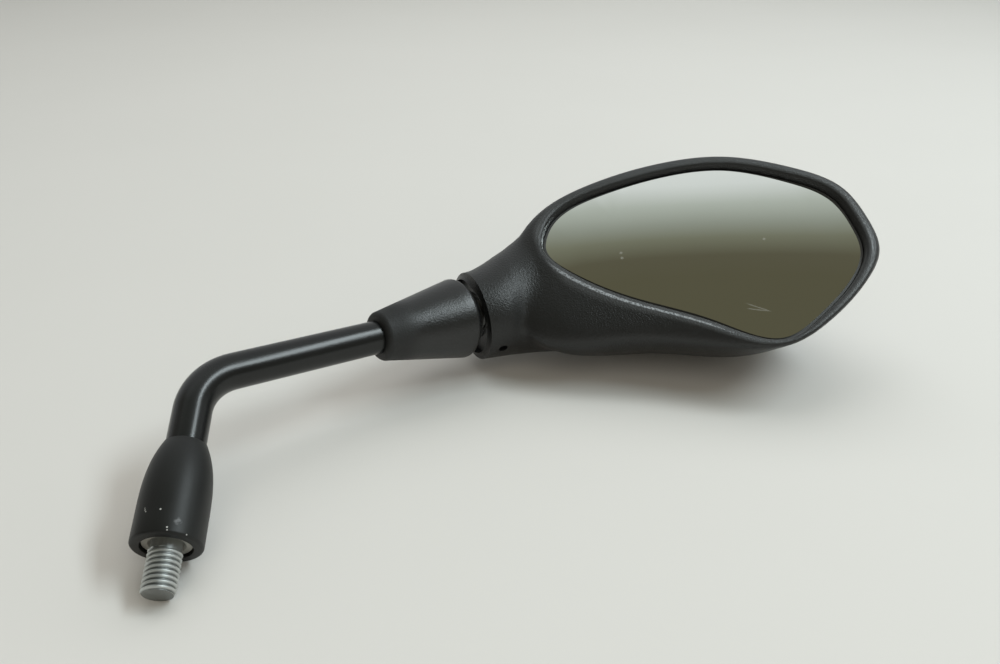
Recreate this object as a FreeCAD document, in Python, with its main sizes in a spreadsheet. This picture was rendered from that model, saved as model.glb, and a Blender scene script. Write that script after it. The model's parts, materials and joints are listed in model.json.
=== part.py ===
import FreeCAD
import Part
import Sketcher
import math
import os
import re
from FreeCAD import Placement, Rotation, Vector

# A motorbike's rear-view mirror: threaded stud, bent stem, ball joint and moulded head with a convex glass.
# The stud stands on the Z axis and points down, and the origin lies where it meets the clamp's face.

# Driving sizes in millimetres and degrees
SIZES = {
    # stud, lock nut and rubber boot
    "thread_dia": 9.8,
    "thread_core_dia": 8.8,
    "thread_clearance": 0.05,
    "stud_reach": 13.6,
    "stud_chamfer": 1.2,
    "stud_collar": 2.0,
    "shank_dia": 8.0,
    "shank_grip": 18.0,
    "shank_clearance": 0.02,
    "nut_flats": 16.0,
    "nut_height": 8.4,
    "nut_recess": 1.0,
    "nut_crown": 0.9,
    "nut_face_dia": 14.0,
    "nut_face_step": 0.9,
    "nut_countersink": 0.9,
    "boot_dia": 20.5,
    "boot_height": 32.8,
    "boot_edge": 0.9,
    "boot_shoulder": 10.0,
    "boot_waist": 25.4,
    "boot_waist_dia": 17.1,
    "boot_nose_dia": 12.9,
    "boot_nose_radius": 12.0,
    "boot_lip_dia": 14.9,
    "boot_cavity_dia": 18.7,
    "boot_clearance": 0.03,
    # stem and cover of the ball stud
    "stem_dia": 12.0,
    "bend_start": 45.4,
    "bend_radius": 20.0,
    "bend_angle": 60.8,
    "leg_reach": 103.0,
    "cover_length": 36.4,
    "cover_gap": 12.7,
    "cover_small_dia": 18.2,
    "cover_big_dia": 30.2,
    "cover_round": 2.2,
    "cover_edge": 2.2,
    "cover_wall": 2.0,
    "cover_hub": 8.0,
    "cover_clearance": 0.04,
    "collar_sphere": 15.2,
    "collar_height": 2.6,
    # ball and its spring-loaded socket
    "ball_dia": 16.0,
    "ball_flat_dia": 6.0,
    "ball_neck_dia": 9.0,
    "ball_standoff": 22.0,
    "ball_collar": 3.0,
    "seat_thickness": 1.84,
    "seat_clearance": 0.08,
    "ring_front_angle": 52.0,
    "ring_back_angle": 86.0,
    "cup_front_angle": 78.0,
    "cup_back_angle": 22.0,
    "press_front": 2.4,
    "press_back": 12.0,
    "press_clearance": 0.1,
    "guide_dia": 12.0,
    "guide_height": 2.0,
    "drill_dia": 8.0,
    "spring_wire_dia": 2.0,
    "spring_length": 6.8,
    "spring_turns": 2.5,
    "plate_thickness": 1.4,
    "snap_thickness": 1.2,
    "snap_depth": 1.0,
    "snap_width": 2.7,
    "snap_gap_angle": 30.0,
    # moulded neck of the head, measured from the ball's centre along the neck
    "neck_dia": 34.4,
    "neck_wall": 2.8,
    "lip_round": 3.2,
    "neck_front": 9.2,
    "flare_at": 3.0,
    "flare_height": 36.6,
    "flare_depth": 36.0,
    "flare_raised": -0.3,
    "flange_front": 4.5,
    "flange_back": 1.5,
    "tube_bore_dia": 25.0,
    "tube_wall": 2.4,
    "tube_back": 23.0,
    "neck_rise": 23.16,
    "neck_dive": 15.43,
    "head_droop": 6.2,
    "head_swing": 13.0,
    "head_twist": 1.04,
    "drain_dia": 3.5,
    "drain_along": -0.85,
    "drain_angle": -6.2,
    # moulded shell, measured from the left end of its rim
    "head_length": 128.5,
    "head_height": 88.4,
    "head_depth": 48.5,
    "belly_depth": 11.0,
    "shell_wall": 2.6,
    "ball_left": 19.3,
    "ball_behind": 13.5,
    "ball_below": 21.9,
    "rim_width": 3.0,
    "rim_round": 1.2,
    "rim_slope_depth": 3.3,
    "rim_slope_run": 1.0,
    "ledge_depth": 7.5,
    "ledge_width": 5.0,
    # convex glass
    "glass_radius": 1200.0,
    "glass_thickness": 2.0,
    "glass_crown_depth": 1.9,
    "seal_width": 0.9,
    "fit_gap": 0.02,
}

# Rim outline seen from the front, in hundredths of the head's length and height,
# and how far the shell swells beyond it on its way back, in millimetres
RIM_AND_SWELL = [
    ((-0.2, 1.9), (-9.3, -9.7)),
    ((5.2, 19.9), (-6.7, -4.5)),
    ((20.1, 32.8), (-1.3, 1.5)),
    ((40.1, 42.0), (-0.6, 2.2)),
    ((60.2, 44.7), (0.0, 2.2)),
    ((79.8, 36.9), (0.8, 2.0)),
    ((93.1, 25.3), (0.6, 1.6)),
    ((98.3, 8.7), (0.6, 1.4)),
    ((99.8, -8.1), (0.4, 2.0)),
    ((94.7, -24.8), (-0.7, 3.4)),
    ((82.8, -43.5), (-1.2, 4.0)),
    ((69.7, -55.3), (-1.5, 4.7)),
    ((49.5, -46.1), (-1.0, -4.1)),
    ((29.7, -34.9), (-3.6, -11.4)),
    ((7.4, -16.7), (-7.0, -25.7)),
]

# Back of the shell: share of the depth reached, and how much of the belly's outline is left there
BACK_STEPS = [(0.45, 0.88), (0.74, 0.66), (0.93, 0.36), (1.0, 0.12)]

# Points on each ring of the neck's sweep
RING_POINTS = 16

# Sweep of the neck into the shell: upright ellipses, each with its centre's place along the rim, behind it
# and above its left end, its height and its depth, in millimetres
SWEEP = [
    (3.0, 20.5, -7.5, 55.0, 38.0),
    (26.0, 24.0, -4.0, 56.0, 36.0),
    (50.0, 25.0, -4.5, 48.0, 32.0),
    (80.0, 22.5, -5.0, 40.0, 26.0),
]

doc = FreeCAD.newDocument("rear_view_mirror")
sheet = doc.addObject("Spreadsheet::Sheet", "sizes")
for row, (alias, value) in enumerate(SIZES.items(), 1):
    sheet.set(f"A{row}", alias)
    sheet.set(f"B{row}", str(value))
    sheet.setAlias(f"B{row}", alias)
doc.recompute()

WORD = re.compile(r"\b(" + "|".join(SIZES) + r")\b")


def linked(expression):
    """The expression with each size's name pointing at its cell."""
    return WORD.sub(r"sizes.\1", expression)


def worth(expression):
    """The expression's present value."""
    return float(sheet.evalExpression(linked(expression)))


def polar(radius, angle):
    """A corner on a sphere about the ball's centre, at an angle from the axis."""
    return (f"({radius}) * sin({angle})", f"({radius}) * cos({angle})")


def arc_about(start, end, radius, turn):
    """The smaller arc between two points, to the left (turn 1) or right (turn -1) of the line between them."""
    middle = (start + end) * 0.5
    along = end - start
    half = along.Length / 2
    side = Vector(-along.y, along.x, 0).normalize() * turn
    centre = middle + side * math.sqrt(max(radius * radius - half * half, 0.0))
    first, last = (start, end) if turn > 0 else (end, start)
    angles = [math.atan2(p.y - centre.y, p.x - centre.x) for p in (first, last)]
    return Part.ArcOfCircle(Part.Circle(centre, Vector(0, 0, 1), radius), *angles)


def section(body, name, corners, arcs, closed=True):
    """A sketch in the XZ plane through corners given as (across, up) expressions.
    arcs maps the side that follows a corner to its radius and its turn."""
    sketch = body.newObject("Sketcher::SketchObject", name)
    plane = next(f for f in body.Origin.OriginFeatures if f.Role == "XZ_Plane")
    sketch.AttachmentSupport = [(plane, "")]
    sketch.MapMode = "FlatFace"
    points = [Vector(worth(across), worth(up), 0) for across, up in corners]
    sides = len(corners) if closed else len(corners) - 1
    starts = {}
    for side in range(sides):
        start, end = points[side], points[(side + 1) % len(points)]
        if side in arcs:
            radius, turn = arcs[side]
            sketch.addGeometry(arc_about(start, end, worth(radius), turn))
            starts[side] = (1, 2) if turn > 0 else (2, 1)
        else:
            sketch.addGeometry(Part.LineSegment(start, end))
            starts[side] = (1, 2)
    for side in range(sides if closed else sides - 1):
        follower = (side + 1) % sides
        sketch.addConstraint(
            Sketcher.Constraint("Coincident", side, starts[side][1], follower, starts[follower][0]))

    def drive(kind, value, *where):
        index = sketch.addConstraint(Sketcher.Constraint(kind, *where, worth(value)))
        sketch.setExpression(f"Constraints[{index}]", linked(value))

    for number, (across, up) in enumerate(corners):
        side, end = (number, starts[number][0]) if number < sides else (sides - 1, starts[sides - 1][1])
        drive("DistanceX", across, side, end)
        drive("DistanceY", up, side, end)
    for side, (radius, turn) in arcs.items():
        drive("Radius", radius, side)
    return sketch


def turned(name, corners, arcs=None, angle="360"):
    """A body of revolution about its own Z axis."""
    body = doc.addObject("PartDesign::Body", name)
    sketch = section(body, name + "_section", corners, arcs or {})
    turn = body.newObject("PartDesign::Revolution", name + "_turn")
    turn.Profile = sketch
    turn.ReferenceAxis = (sketch, ["V_Axis"])
    turn.setExpression("Angle", linked(angle))
    body.Tip = turn
    return body


# Where the stem's long leg starts and where the ball sits on it
LEG_X = "bend_radius * (1 - cos(bend_angle))"
LEG_Z = "(bend_start + bend_radius * sin(bend_angle))"
BALL_X = f"({LEG_X} + leg_reach * sin(bend_angle))"
BALL_Z = f"({LEG_Z} + leg_reach * cos(bend_angle))"


def on_ball(body, lean):
    """Moves a turned body's origin to the ball's centre and leans its axis from the vertical towards X."""
    body.Placement = Placement(Vector(0, 0, 0), Rotation(Vector(0, 1, 0), 1.0))
    body.setExpression("Placement.Base.x", linked(BALL_X))
    body.setExpression("Placement.Base.z", linked(BALL_Z))
    body.setExpression("Placement.Rotation.Angle", linked(lean))
    return body


STEM_LEAN = "bend_angle"

# The neck's own axis: leant a little further than the stem and swung to the front
BALL_AT = Vector(worth(BALL_X), 0, worth(BALL_Z))
NECK_TURN = (Rotation(Vector(0, 1, 0), worth("bend_angle + head_droop"))
             * Rotation(Vector(1, 0, 0), worth("head_swing")))


def on_neck(body):
    """Moves a turned body's origin to the ball's centre and lays its axis along the neck's."""
    body.Placement = Placement(BALL_AT, NECK_TURN)
    return body


# Threaded stud: the clamp's thread, a run-out inside the nut, a collar and a shank pressed into the stem
NUT_TOP = "(nut_recess + nut_height)"
STUD_TOP = f"({NUT_TOP} + stud_collar)"
threaded_stud = turned("threaded_stud", [
    ("0", "-stud_reach"),
    ("thread_dia / 2 - stud_chamfer", "-stud_reach"),
    ("thread_dia / 2", "-stud_reach + stud_chamfer"),
    ("thread_dia / 2", "0"),
    ("thread_core_dia / 2", "0"),
    ("thread_core_dia / 2", NUT_TOP),
    ("stem_dia / 2", NUT_TOP),
    ("stem_dia / 2", STUD_TOP),
    ("shank_dia / 2", STUD_TOP),
    ("shank_dia / 2", f"{STUD_TOP} + shank_grip"),
    ("0", f"{STUD_TOP} + shank_grip"),
])

# Lock nut: a turned blank with a round seating face, cut to six flats
NUT_CORNER = "(nut_flats / (2 * cos(30)))"
NUT_BORE = "(thread_core_dia / 2 + thread_clearance)"
NUT_HEX = "(nut_recess + nut_face_step)"
nut_blank = turned("nut_blank", [
    (f"{NUT_BORE} + nut_countersink", "nut_recess"),
    ("nut_face_dia / 2", "nut_recess"),
    ("nut_face_dia / 2", NUT_HEX),
    ("nut_flats / 2", NUT_HEX),
    (NUT_CORNER, f"{NUT_HEX} + nut_crown"),
    (NUT_CORNER, f"{NUT_TOP} - nut_crown"),
    ("nut_flats / 2", NUT_TOP),
    (NUT_BORE, NUT_TOP),
    (NUT_BORE, "nut_recess + nut_countersink"),
])
nut_prism = doc.addObject("Part::Prism", "nut_prism")
nut_prism.Polygon = 6
nut_prism.setExpression("Circumradius", linked(NUT_CORNER))
nut_prism.setExpression("Height", linked(f"{NUT_TOP} + nut_crown"))
lock_nut = doc.addObject("Part::Common", "lock_nut")
lock_nut.Base = nut_prism
lock_nut.Tool = nut_blank

# Rubber boot: a bullet that grips the stem, with a cavity for the nut and a lip under it
BOOT_INSET = "((boot_dia - boot_waist_dia) / 2)"
BOOT_BORE = "stem_dia / 2 + boot_clearance"
BOOT_RISE = "(boot_waist - boot_shoulder)"
LIP_TOP = f"{NUT_HEX} - thread_clearance"
nut_boot = turned("nut_boot", [
    ("boot_lip_dia / 2", "0"),
    ("boot_dia / 2 - boot_edge", "0"),
    ("boot_dia / 2", "boot_edge"),
    ("boot_dia / 2", "boot_shoulder"),
    ("boot_waist_dia / 2", "boot_waist"),
    ("boot_nose_dia / 2", "boot_height"),
    (BOOT_BORE, "boot_height"),
    (BOOT_BORE, f"{NUT_TOP} + boot_clearance"),
    ("boot_cavity_dia / 2", f"{NUT_TOP} + boot_clearance"),
    ("boot_cavity_dia / 2", LIP_TOP),
    ("boot_lip_dia / 2", LIP_TOP),
], {
    1: ("boot_edge", 1),
    3: (f"({BOOT_RISE} * {BOOT_RISE} + {BOOT_INSET} * {BOOT_INSET}) / (2 * {BOOT_INSET})", 1),
    4: ("boot_nose_radius", 1),
})

# Stem: a tube swept along a straight leg, a bend and the long leg
stem_tube = doc.addObject("PartDesign::Body", "stem_tube")
stem_path = section(stem_tube, "stem_path", [
    ("0", STUD_TOP),
    ("0", "bend_start"),
    (LEG_X, LEG_Z),
    (f"{LEG_X} + (leg_reach - ball_standoff) * sin(bend_angle)",
     f"{LEG_Z} + (leg_reach - ball_standoff) * cos(bend_angle)"),
], {1: ("bend_radius", -1)}, closed=False)
stem_ring = stem_tube.newObject("Sketcher::SketchObject", "stem_ring")
stem_ring.AttachmentSupport = [(next(f for f in stem_tube.Origin.OriginFeatures if f.Role == "XY_Plane"), "")]
stem_ring.MapMode = "FlatFace"
stem_ring.setExpression("AttachmentOffset.Base.z", linked(STUD_TOP))
for ring, radius in enumerate(("stem_dia / 2", "shank_dia / 2 + shank_clearance")):
    stem_ring.addGeometry(Part.Circle(Vector(0, 0, 0), Vector(0, 0, 1), worth(radius)))
    stem_ring.addConstraint(Sketcher.Constraint("Coincident", ring, 3, -1, 1))
    index = stem_ring.addConstraint(Sketcher.Constraint("Radius", ring, worth(radius)))
    stem_ring.setExpression(f"Constraints[{index}]", linked(radius))
doc.recompute()
stem_sweep = stem_tube.newObject("PartDesign::AdditivePipe", "stem_sweep")
stem_sweep.Profile = stem_ring
stem_sweep.Spine = stem_path
stem_tube.Tip = stem_sweep

# Ball stud: shank in the stem, collar on its end, neck and ball
NECK_MEETS_BALL = "sqrt(ball_dia * ball_dia - ball_neck_dia * ball_neck_dia) / 2"
BALL_TOP = "sqrt(ball_dia * ball_dia - ball_flat_dia * ball_flat_dia) / 2"
ball_stud = on_ball(turned("ball_stud", [
    ("0", "-ball_standoff - shank_grip"),
    ("shank_dia / 2", "-ball_standoff - shank_grip"),
    ("shank_dia / 2", "-ball_standoff"),
    ("stem_dia / 2", "-ball_standoff"),
    ("stem_dia / 2", "-ball_standoff + ball_collar"),
    ("ball_neck_dia / 2", "-ball_standoff + ball_collar"),
    ("ball_neck_dia / 2", f"-{NECK_MEETS_BALL}"),
    ("ball_flat_dia / 2", BALL_TOP),
    ("0", BALL_TOP),
], {6: ("ball_dia / 2", 1)}), STEM_LEAN)

# Joint cover: a hollow cone on the stem, closed at its big end by a wall with a domed collar
COVER_START = "(-cover_gap - cover_length)"
COLLAR_END = "(cover_gap - collar_height)"
COVER_BORE = "stem_dia / 2 + cover_clearance"
joint_cover = on_ball(turned("joint_cover", [
    (COVER_BORE, COVER_START),
    ("cover_small_dia / 2 - cover_round", COVER_START),
    ("cover_small_dia / 2", f"{COVER_START} + cover_round"),
    ("cover_big_dia / 2", "-cover_gap - cover_edge"),
    ("cover_big_dia / 2 - cover_edge", "-cover_gap"),
    ("sqrt(collar_sphere * collar_sphere - cover_gap * cover_gap)", "-cover_gap"),
    (f"sqrt(collar_sphere * collar_sphere - {COLLAR_END} * {COLLAR_END})", f"-{COLLAR_END}"),
    ("ball_neck_dia / 2 + cover_clearance", f"-{COLLAR_END}"),
    ("ball_neck_dia / 2 + cover_clearance", "-cover_gap - cover_wall"),
    ("cover_big_dia / 2 - cover_wall", "-cover_gap - cover_wall"),
    ("cover_small_dia / 2 - cover_wall / 2", f"{COVER_START} + cover_hub"),
    (COVER_BORE, f"{COVER_START} + cover_hub"),
], {1: ("cover_round", 1), 3: ("cover_edge", 1), 5: ("collar_sphere", 1)}), STEM_LEAN)

# Friction seats: spherical layers between the ball and its socket
SEAT_INNER = "(ball_dia / 2 + seat_clearance)"
SEAT_OUTER = "(ball_dia / 2 + seat_clearance + seat_thickness)"
SOCKET = "(ball_dia / 2 + 2 * seat_clearance + seat_thickness)"


def seat(name, first_angle, last_angle):
    """A layer between two angles, the larger first, measured from the axis."""
    corners = [polar(SEAT_INNER, first_angle), polar(SEAT_OUTER, first_angle),
               polar(SEAT_OUTER, last_angle), polar(SEAT_INNER, last_angle)]
    return turned(name, corners, {1: (SEAT_OUTER, 1), 3: (SEAT_INNER, -1)})


front_seat_ring = on_ball(seat("front_seat_ring", "(180 - ring_front_angle)", "(180 - ring_back_angle)"),
                          STEM_LEAN)
rear_seat_cup = on_neck(seat("rear_seat_cup", "cup_front_angle", "cup_back_angle"))

# Pressure cup: slides in the socket tube and presses the rear seat onto the ball
BORE = "tube_bore_dia / 2"
pressure_cup = on_neck(turned("pressure_cup", [
    ("drill_dia / 2", "press_back + guide_height"),
    ("guide_dia / 2", "press_back + guide_height"),
    ("guide_dia / 2", "press_back"),
    (f"{BORE} - press_clearance", "press_back"),
    (f"{BORE} - press_clearance", "press_front"),
    (f"sqrt({SOCKET} * {SOCKET} - press_front * press_front)", "press_front"),
    ("drill_dia / 2", f"sqrt({SOCKET} * {SOCKET} - drill_dia * drill_dia / 4)"),
], {5: (SOCKET, 1)}))

# Spring plate behind the spring, and the snap ring that holds it in the tube
PLATE_FRONT = "(press_back + spring_length)"
PLATE_BACK = f"({PLATE_FRONT} + plate_thickness)"
SNAP_BACK = f"({PLATE_BACK} + snap_thickness)"
spring_plate = on_neck(turned("spring_plate", [
    ("drill_dia / 2", f"{PLATE_FRONT} - guide_height"),
    ("guide_dia / 2", f"{PLATE_FRONT} - guide_height"),
    ("guide_dia / 2", PLATE_FRONT),
    (f"{BORE} - press_clearance", PLATE_FRONT),
    (f"{BORE} - press_clearance", PLATE_BACK),
    ("drill_dia / 2", PLATE_BACK),
]))
retaining_ring = on_neck(turned("retaining_ring", [
    (f"{BORE} + snap_depth - snap_width", PLATE_BACK),
    (f"{BORE} + snap_depth - press_clearance", PLATE_BACK),
    (f"{BORE} + snap_depth - press_clearance", SNAP_BACK),
    (f"{BORE} + snap_depth - snap_width", SNAP_BACK),
], angle="360 - snap_gap_angle"))
doc.recompute()


def feature(name, shape, placement):
    """A sub-part whose shape is worked out here from the sheet's sizes."""
    made = doc.addObject("Part::Feature", name)
    made.Shape = shape
    made.Placement = placement.multiply(shape.Placement)
    return made


# Pressure spring: a round wire wound between the pressure cup and the plate
wire_radius = worth("spring_wire_dia / 2")
coil_radius = worth("guide_dia / 2 + spring_wire_dia / 2 + press_clearance")
coil_height = worth("spring_length - spring_wire_dia")
coil = Part.makeHelix(coil_height / worth("spring_turns"), coil_height, coil_radius)
wire = Part.Wire(Part.makeCircle(wire_radius, Vector(coil_radius, 0, 0), Vector(0, 1, 0)))
spring = Part.Wire(coil.Edges).makePipeShell([wire], True, True)
spring.translate(Vector(0, 0, worth("press_back + spring_wire_dia / 2")))
pressure_spring = feature("pressure_spring", spring, Placement(BALL_AT, NECK_TURN))

# The head's own frame: X along the rim from its left end, Y back from the rim, Z up
BALL_IN_HEAD = Vector(-worth("ball_left"), worth("ball_behind"), -worth("ball_below"))
NECK_DIVE = Rotation(Vector(0, 0, 1), worth("neck_dive"))
NECK_IN_HEAD = NECK_DIVE * Rotation(Vector(0, 1, 0), worth("90 - neck_rise"))
NECK_FRAME = Placement(BALL_IN_HEAD, NECK_IN_HEAD)
HEAD_TURN = NECK_TURN * Rotation(Vector(0, 0, 1), worth("head_twist")) * NECK_IN_HEAD.inverted()
HEAD_FRAME = Placement(BALL_AT - HEAD_TURN.multVec(BALL_IN_HEAD), HEAD_TURN)

rim = [(x * worth("head_length") / 100, z * worth("head_height") / 100) for (x, z), swell in RIM_AND_SWELL]
belly = [(x + dx, z + dz) for (x, z), (share, (dx, dz)) in zip(rim, RIM_AND_SWELL)]
middle = (worth("head_length") / 2, (max(z for x, z in rim) + min(z for x, z in rim)) / 2)


def inset(outline, distance):
    """The outline moved inwards, square to itself at each of its points. The points run clockwise."""
    moved = []
    for number, (x, z) in enumerate(outline):
        before = outline[number - 1]
        after = outline[(number + 1) % len(outline)]
        along_x, along_z = after[0] - before[0], after[1] - before[1]
        length = math.hypot(along_x, along_z)
        moved.append((x + along_z / length * distance, z - along_x / length * distance))
    return moved


def shrunk(outline, share):
    """The outline drawn in towards the middle of the head."""
    return [(middle[0] + (x - middle[0]) * share, middle[1] + (z - middle[1]) * share) for x, z in outline]


def loop(outline, depth):
    """A closed smooth curve through the outline's points, at a depth behind the rim."""
    curve = Part.BSplineCurve()
    curve.interpolate(Points=[Vector(x, depth, z) for x, z in outline], PeriodicFlag=True)
    return Part.Wire(curve.toShape())


def plug(outline, front, back):
    """A straight-sided block with the outline's shape."""
    return Part.Face(loop(outline, front)).extrude(Vector(0, back - front, 0))


def spun(corners, arcs):
    """A solid turned about the neck's axis, from (across, along) expressions, in the head's frame."""
    points = [Vector(worth(across), worth(along), 0) for across, along in corners]
    edges = []
    for side, start in enumerate(points):
        end = points[(side + 1) % len(points)]
        if side in arcs:
            radius, turn = arcs[side]
            edges.append(arc_about(start, end, worth(radius), turn).toShape())
        else:
            edges.append(Part.makeLine(start, end))
    face = Part.Face(Part.Wire(Part.__sortEdges__(edges)))
    face.rotate(Vector(0, 0, 0), Vector(1, 0, 0), 90)
    solid = face.revolve(Vector(0, 0, 0), Vector(0, 0, 1), 360)
    solid.Placement = NECK_FRAME
    return solid


# Mirror shell: a swollen bowl with a flared neck, hollowed to an even wall
depth = worth("head_depth")
wall = worth("shell_wall")
swell_depth = worth("belly_depth")
outer_loops = [loop(rim, 0.0), loop(belly, swell_depth)]
outer_loops += [loop(shrunk(belly, share), depth * reach) for reach, share in BACK_STEPS]
outer = Part.makeLoft(outer_loops, True, False)
inner_loops = [loop(inset(rim, worth("rim_width + rim_slope_run + ledge_width")), worth("ledge_depth") - wall)]
inner_loops += [loop(inset(belly, wall), swell_depth)]
inner_loops += [loop(inset(shrunk(belly, share), wall), depth * reach - wall) for reach, share in BACK_STEPS]
inner = Part.makeLoft(inner_loops, True, False)


def ring(centre, down, back):
    """A closed smooth oval about a centre, from its lower and its rear half-axis."""
    turns = [math.radians(360 * step / RING_POINTS) for step in range(RING_POINTS)]
    curve = Part.BSplineCurve()
    curve.interpolate(Points=[centre + down * math.cos(t) + back * math.sin(t) for t in turns], PeriodicFlag=True)
    return Part.Wire(curve.toShape())


def sweep(thinner, front):
    """The neck and its sweep into the shell, drawn in by a wall's thickness for the hollow."""
    rings = []
    for along, height, deep, raised in ((front, "neck_dia", "neck_dia", "0"),
                                        ("flare_at", "flare_height", "flare_depth", "flare_raised")):
        centre = NECK_FRAME.multVec(Vector(-worth(raised), 0, worth(along)))
        down = NECK_IN_HEAD.multVec(Vector(worth(height) / 2 - thinner, 0, 0))
        back = NECK_IN_HEAD.multVec(Vector(0, worth(deep) / 2 - thinner, 0))
        rings.append(ring(centre, down, back))
    for along, behind, above, height, deep in SWEEP:
        down = Vector(0, 0, thinner - height / 2)
        back = Vector(0, deep / 2 - thinner, 0)
        rings.append(ring(Vector(along, behind, above), down, back))
    return Part.makeLoft(rings, True, False, False, 3)


neck_wall = worth("neck_wall")
neck_outer = sweep(0.0, "-neck_front")
neck_inner = sweep(neck_wall, "-neck_front - neck_wall")
lip_trim = spun([
    ("neck_dia / 2 - lip_round", "-neck_front - lip_round"),
    ("neck_dia / 2 + lip_round", "-neck_front - lip_round"),
    ("neck_dia / 2 + lip_round", "-neck_front + lip_round"),
    ("neck_dia / 2", "-neck_front + lip_round"),
    ("neck_dia / 2 - lip_round", "-neck_front"),
], {3: ("lip_round", 1)})

# Socket tube with the front flange that holds the ball, and a groove for the snap ring
FLANGE_HOLE = f"sqrt({SOCKET} * {SOCKET} - flange_front * flange_front)"
GROOVE = f"{BORE} + snap_depth"
TUBE = f"{BORE} + tube_wall"
socket = spun([
    (FLANGE_HOLE, "-flange_front"),
    (TUBE, "-flange_front"),
    (TUBE, "tube_back"),
    (BORE, "tube_back"),
    (BORE, f"{SNAP_BACK} + press_clearance"),
    (GROOVE, f"{SNAP_BACK} + press_clearance"),
    (GROOVE, f"{PLATE_BACK} - press_clearance"),
    (BORE, f"{PLATE_BACK} - press_clearance"),
    (BORE, "flange_back"),
    (SOCKET, "flange_back"),
    (SOCKET, "0"),
], {10: (SOCKET, -1)})

# Room for the spring and its plates, taken out of the neck's wall before the tube is put in
ROOM = f"{GROOVE} + press_clearance"
room = spun([("0", "0"), (ROOM, "0"), (ROOM, "tube_back + tube_wall"), ("0", "tube_back + tube_wall")], {})

# Mouth of the neck, bored round so that the cover's collar clears it
MOUTH = "neck_dia / 2 - neck_wall"
mouth = spun([
    ("0", "-neck_front - neck_wall"),
    (MOUTH, "-neck_front - neck_wall"),
    (MOUTH, "-flange_front"),
    ("0", "-flange_front"),
], {})

# Front pocket: a sloping inner rim, then a straight wall down to the ledge that carries the glass
slope_top = worth("rim_width - rim_slope_run")
slope_depth = worth("rim_slope_depth")
pocket_inset = worth("rim_width + rim_slope_run")
slope = Part.makeLoft([loop(inset(rim, slope_top), -slope_depth), loop(inset(rim, pocket_inset), slope_depth)],
                      True, False)
pocket = plug(inset(rim, pocket_inset), 0.0, worth("ledge_depth"))

drain = Part.makeCylinder(worth("drain_dia / 2"), worth("neck_dia"))
drain.Placement = NECK_FRAME.multiply(Placement(
    Vector(0, 0, worth("drain_along")),
    Rotation(Vector(0, 0, 1), worth("drain_angle")) * Rotation(Vector(0, 1, 0), 90)))

shell = outer.fuse(neck_outer).cut(inner.fuse(neck_inner)).cut(room).fuse(socket)
shell = shell.cut([slope, pocket, drain, lip_trim, mouth])

# The rim's crest is rounded on both sides
crest = [edge for edge in shell.Edges if max(abs(edge.BoundBox.YMin), abs(edge.BoundBox.YMax)) < 1e-4]
shell = shell.makeFillet(worth("rim_round"), crest)
mirror_shell = feature("mirror_shell", shell, HEAD_FRAME)

# Convex glass, the plate it is bonded to and the seal round its edge
glass_inset = worth("rim_width + rim_slope_run + seal_width")
ledge = worth("ledge_depth")
ball_back = worth("glass_crown_depth + glass_radius")
ball_middle = Vector(middle[0], ball_back, middle[1])
front_ball = Part.makeSphere(worth("glass_radius"), ball_middle)
back_ball = Part.makeSphere(worth("glass_radius - glass_thickness"), ball_middle)
carrier_ball = Part.makeSphere(worth("glass_radius - glass_thickness - fit_gap"), ball_middle)
blank = plug(inset(rim, glass_inset), 0.0, ledge)
mirror_glass = feature("mirror_glass", blank.common(front_ball).cut(back_ball), HEAD_FRAME)
glass_carrier = feature("glass_carrier", blank.common(carrier_ball), HEAD_FRAME)
seal_front = slope_depth
seal = plug(inset(rim, pocket_inset + worth("fit_gap")), seal_front, ledge)
seal = seal.cut(plug(inset(rim, glass_inset - worth("fit_gap")), 0.0, depth))
glass_seal = feature("glass_seal", seal, HEAD_FRAME)

SUBPARTS = [threaded_stud, lock_nut, nut_boot, stem_tube, joint_cover, ball_stud, front_seat_ring,
            rear_seat_cup, pressure_cup, pressure_spring, spring_plate, retaining_ring, mirror_shell,
            mirror_glass, glass_carrier, glass_seal]

doc.recompute()
for item in doc.Objects:
    if {"Invalid", "Error"} & set(item.State):
        raise RuntimeError(f"{item.Label} failed to build")
for piece in SUBPARTS:
    if piece.Shape.isNull() or not piece.Shape.isValid():
        raise RuntimeError(f"{piece.Label} has no valid shape")

os.makedirs("parts", exist_ok=True)
for piece in SUBPARTS:
    piece.Shape.exportStep(f"parts/{piece.Label}.step")
    print(piece.Label, len(piece.Shape.Solids), round(piece.Shape.Volume, 1))
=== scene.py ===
# %% [markdown]
# # A motorbike's rear-view mirror
# The mirror has a steel stem with one bend, a threaded stud with a rubber boot at its lower end, and a
# moulded head on a ball joint at its outer end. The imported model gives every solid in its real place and
# size, so this lesson only dresses it: pieces that need finer shape are modelled again, and every surface
# gets a finish built from nodes.

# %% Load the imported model
import json
import math

import bpy
from mathutils import Matrix, Vector


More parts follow.
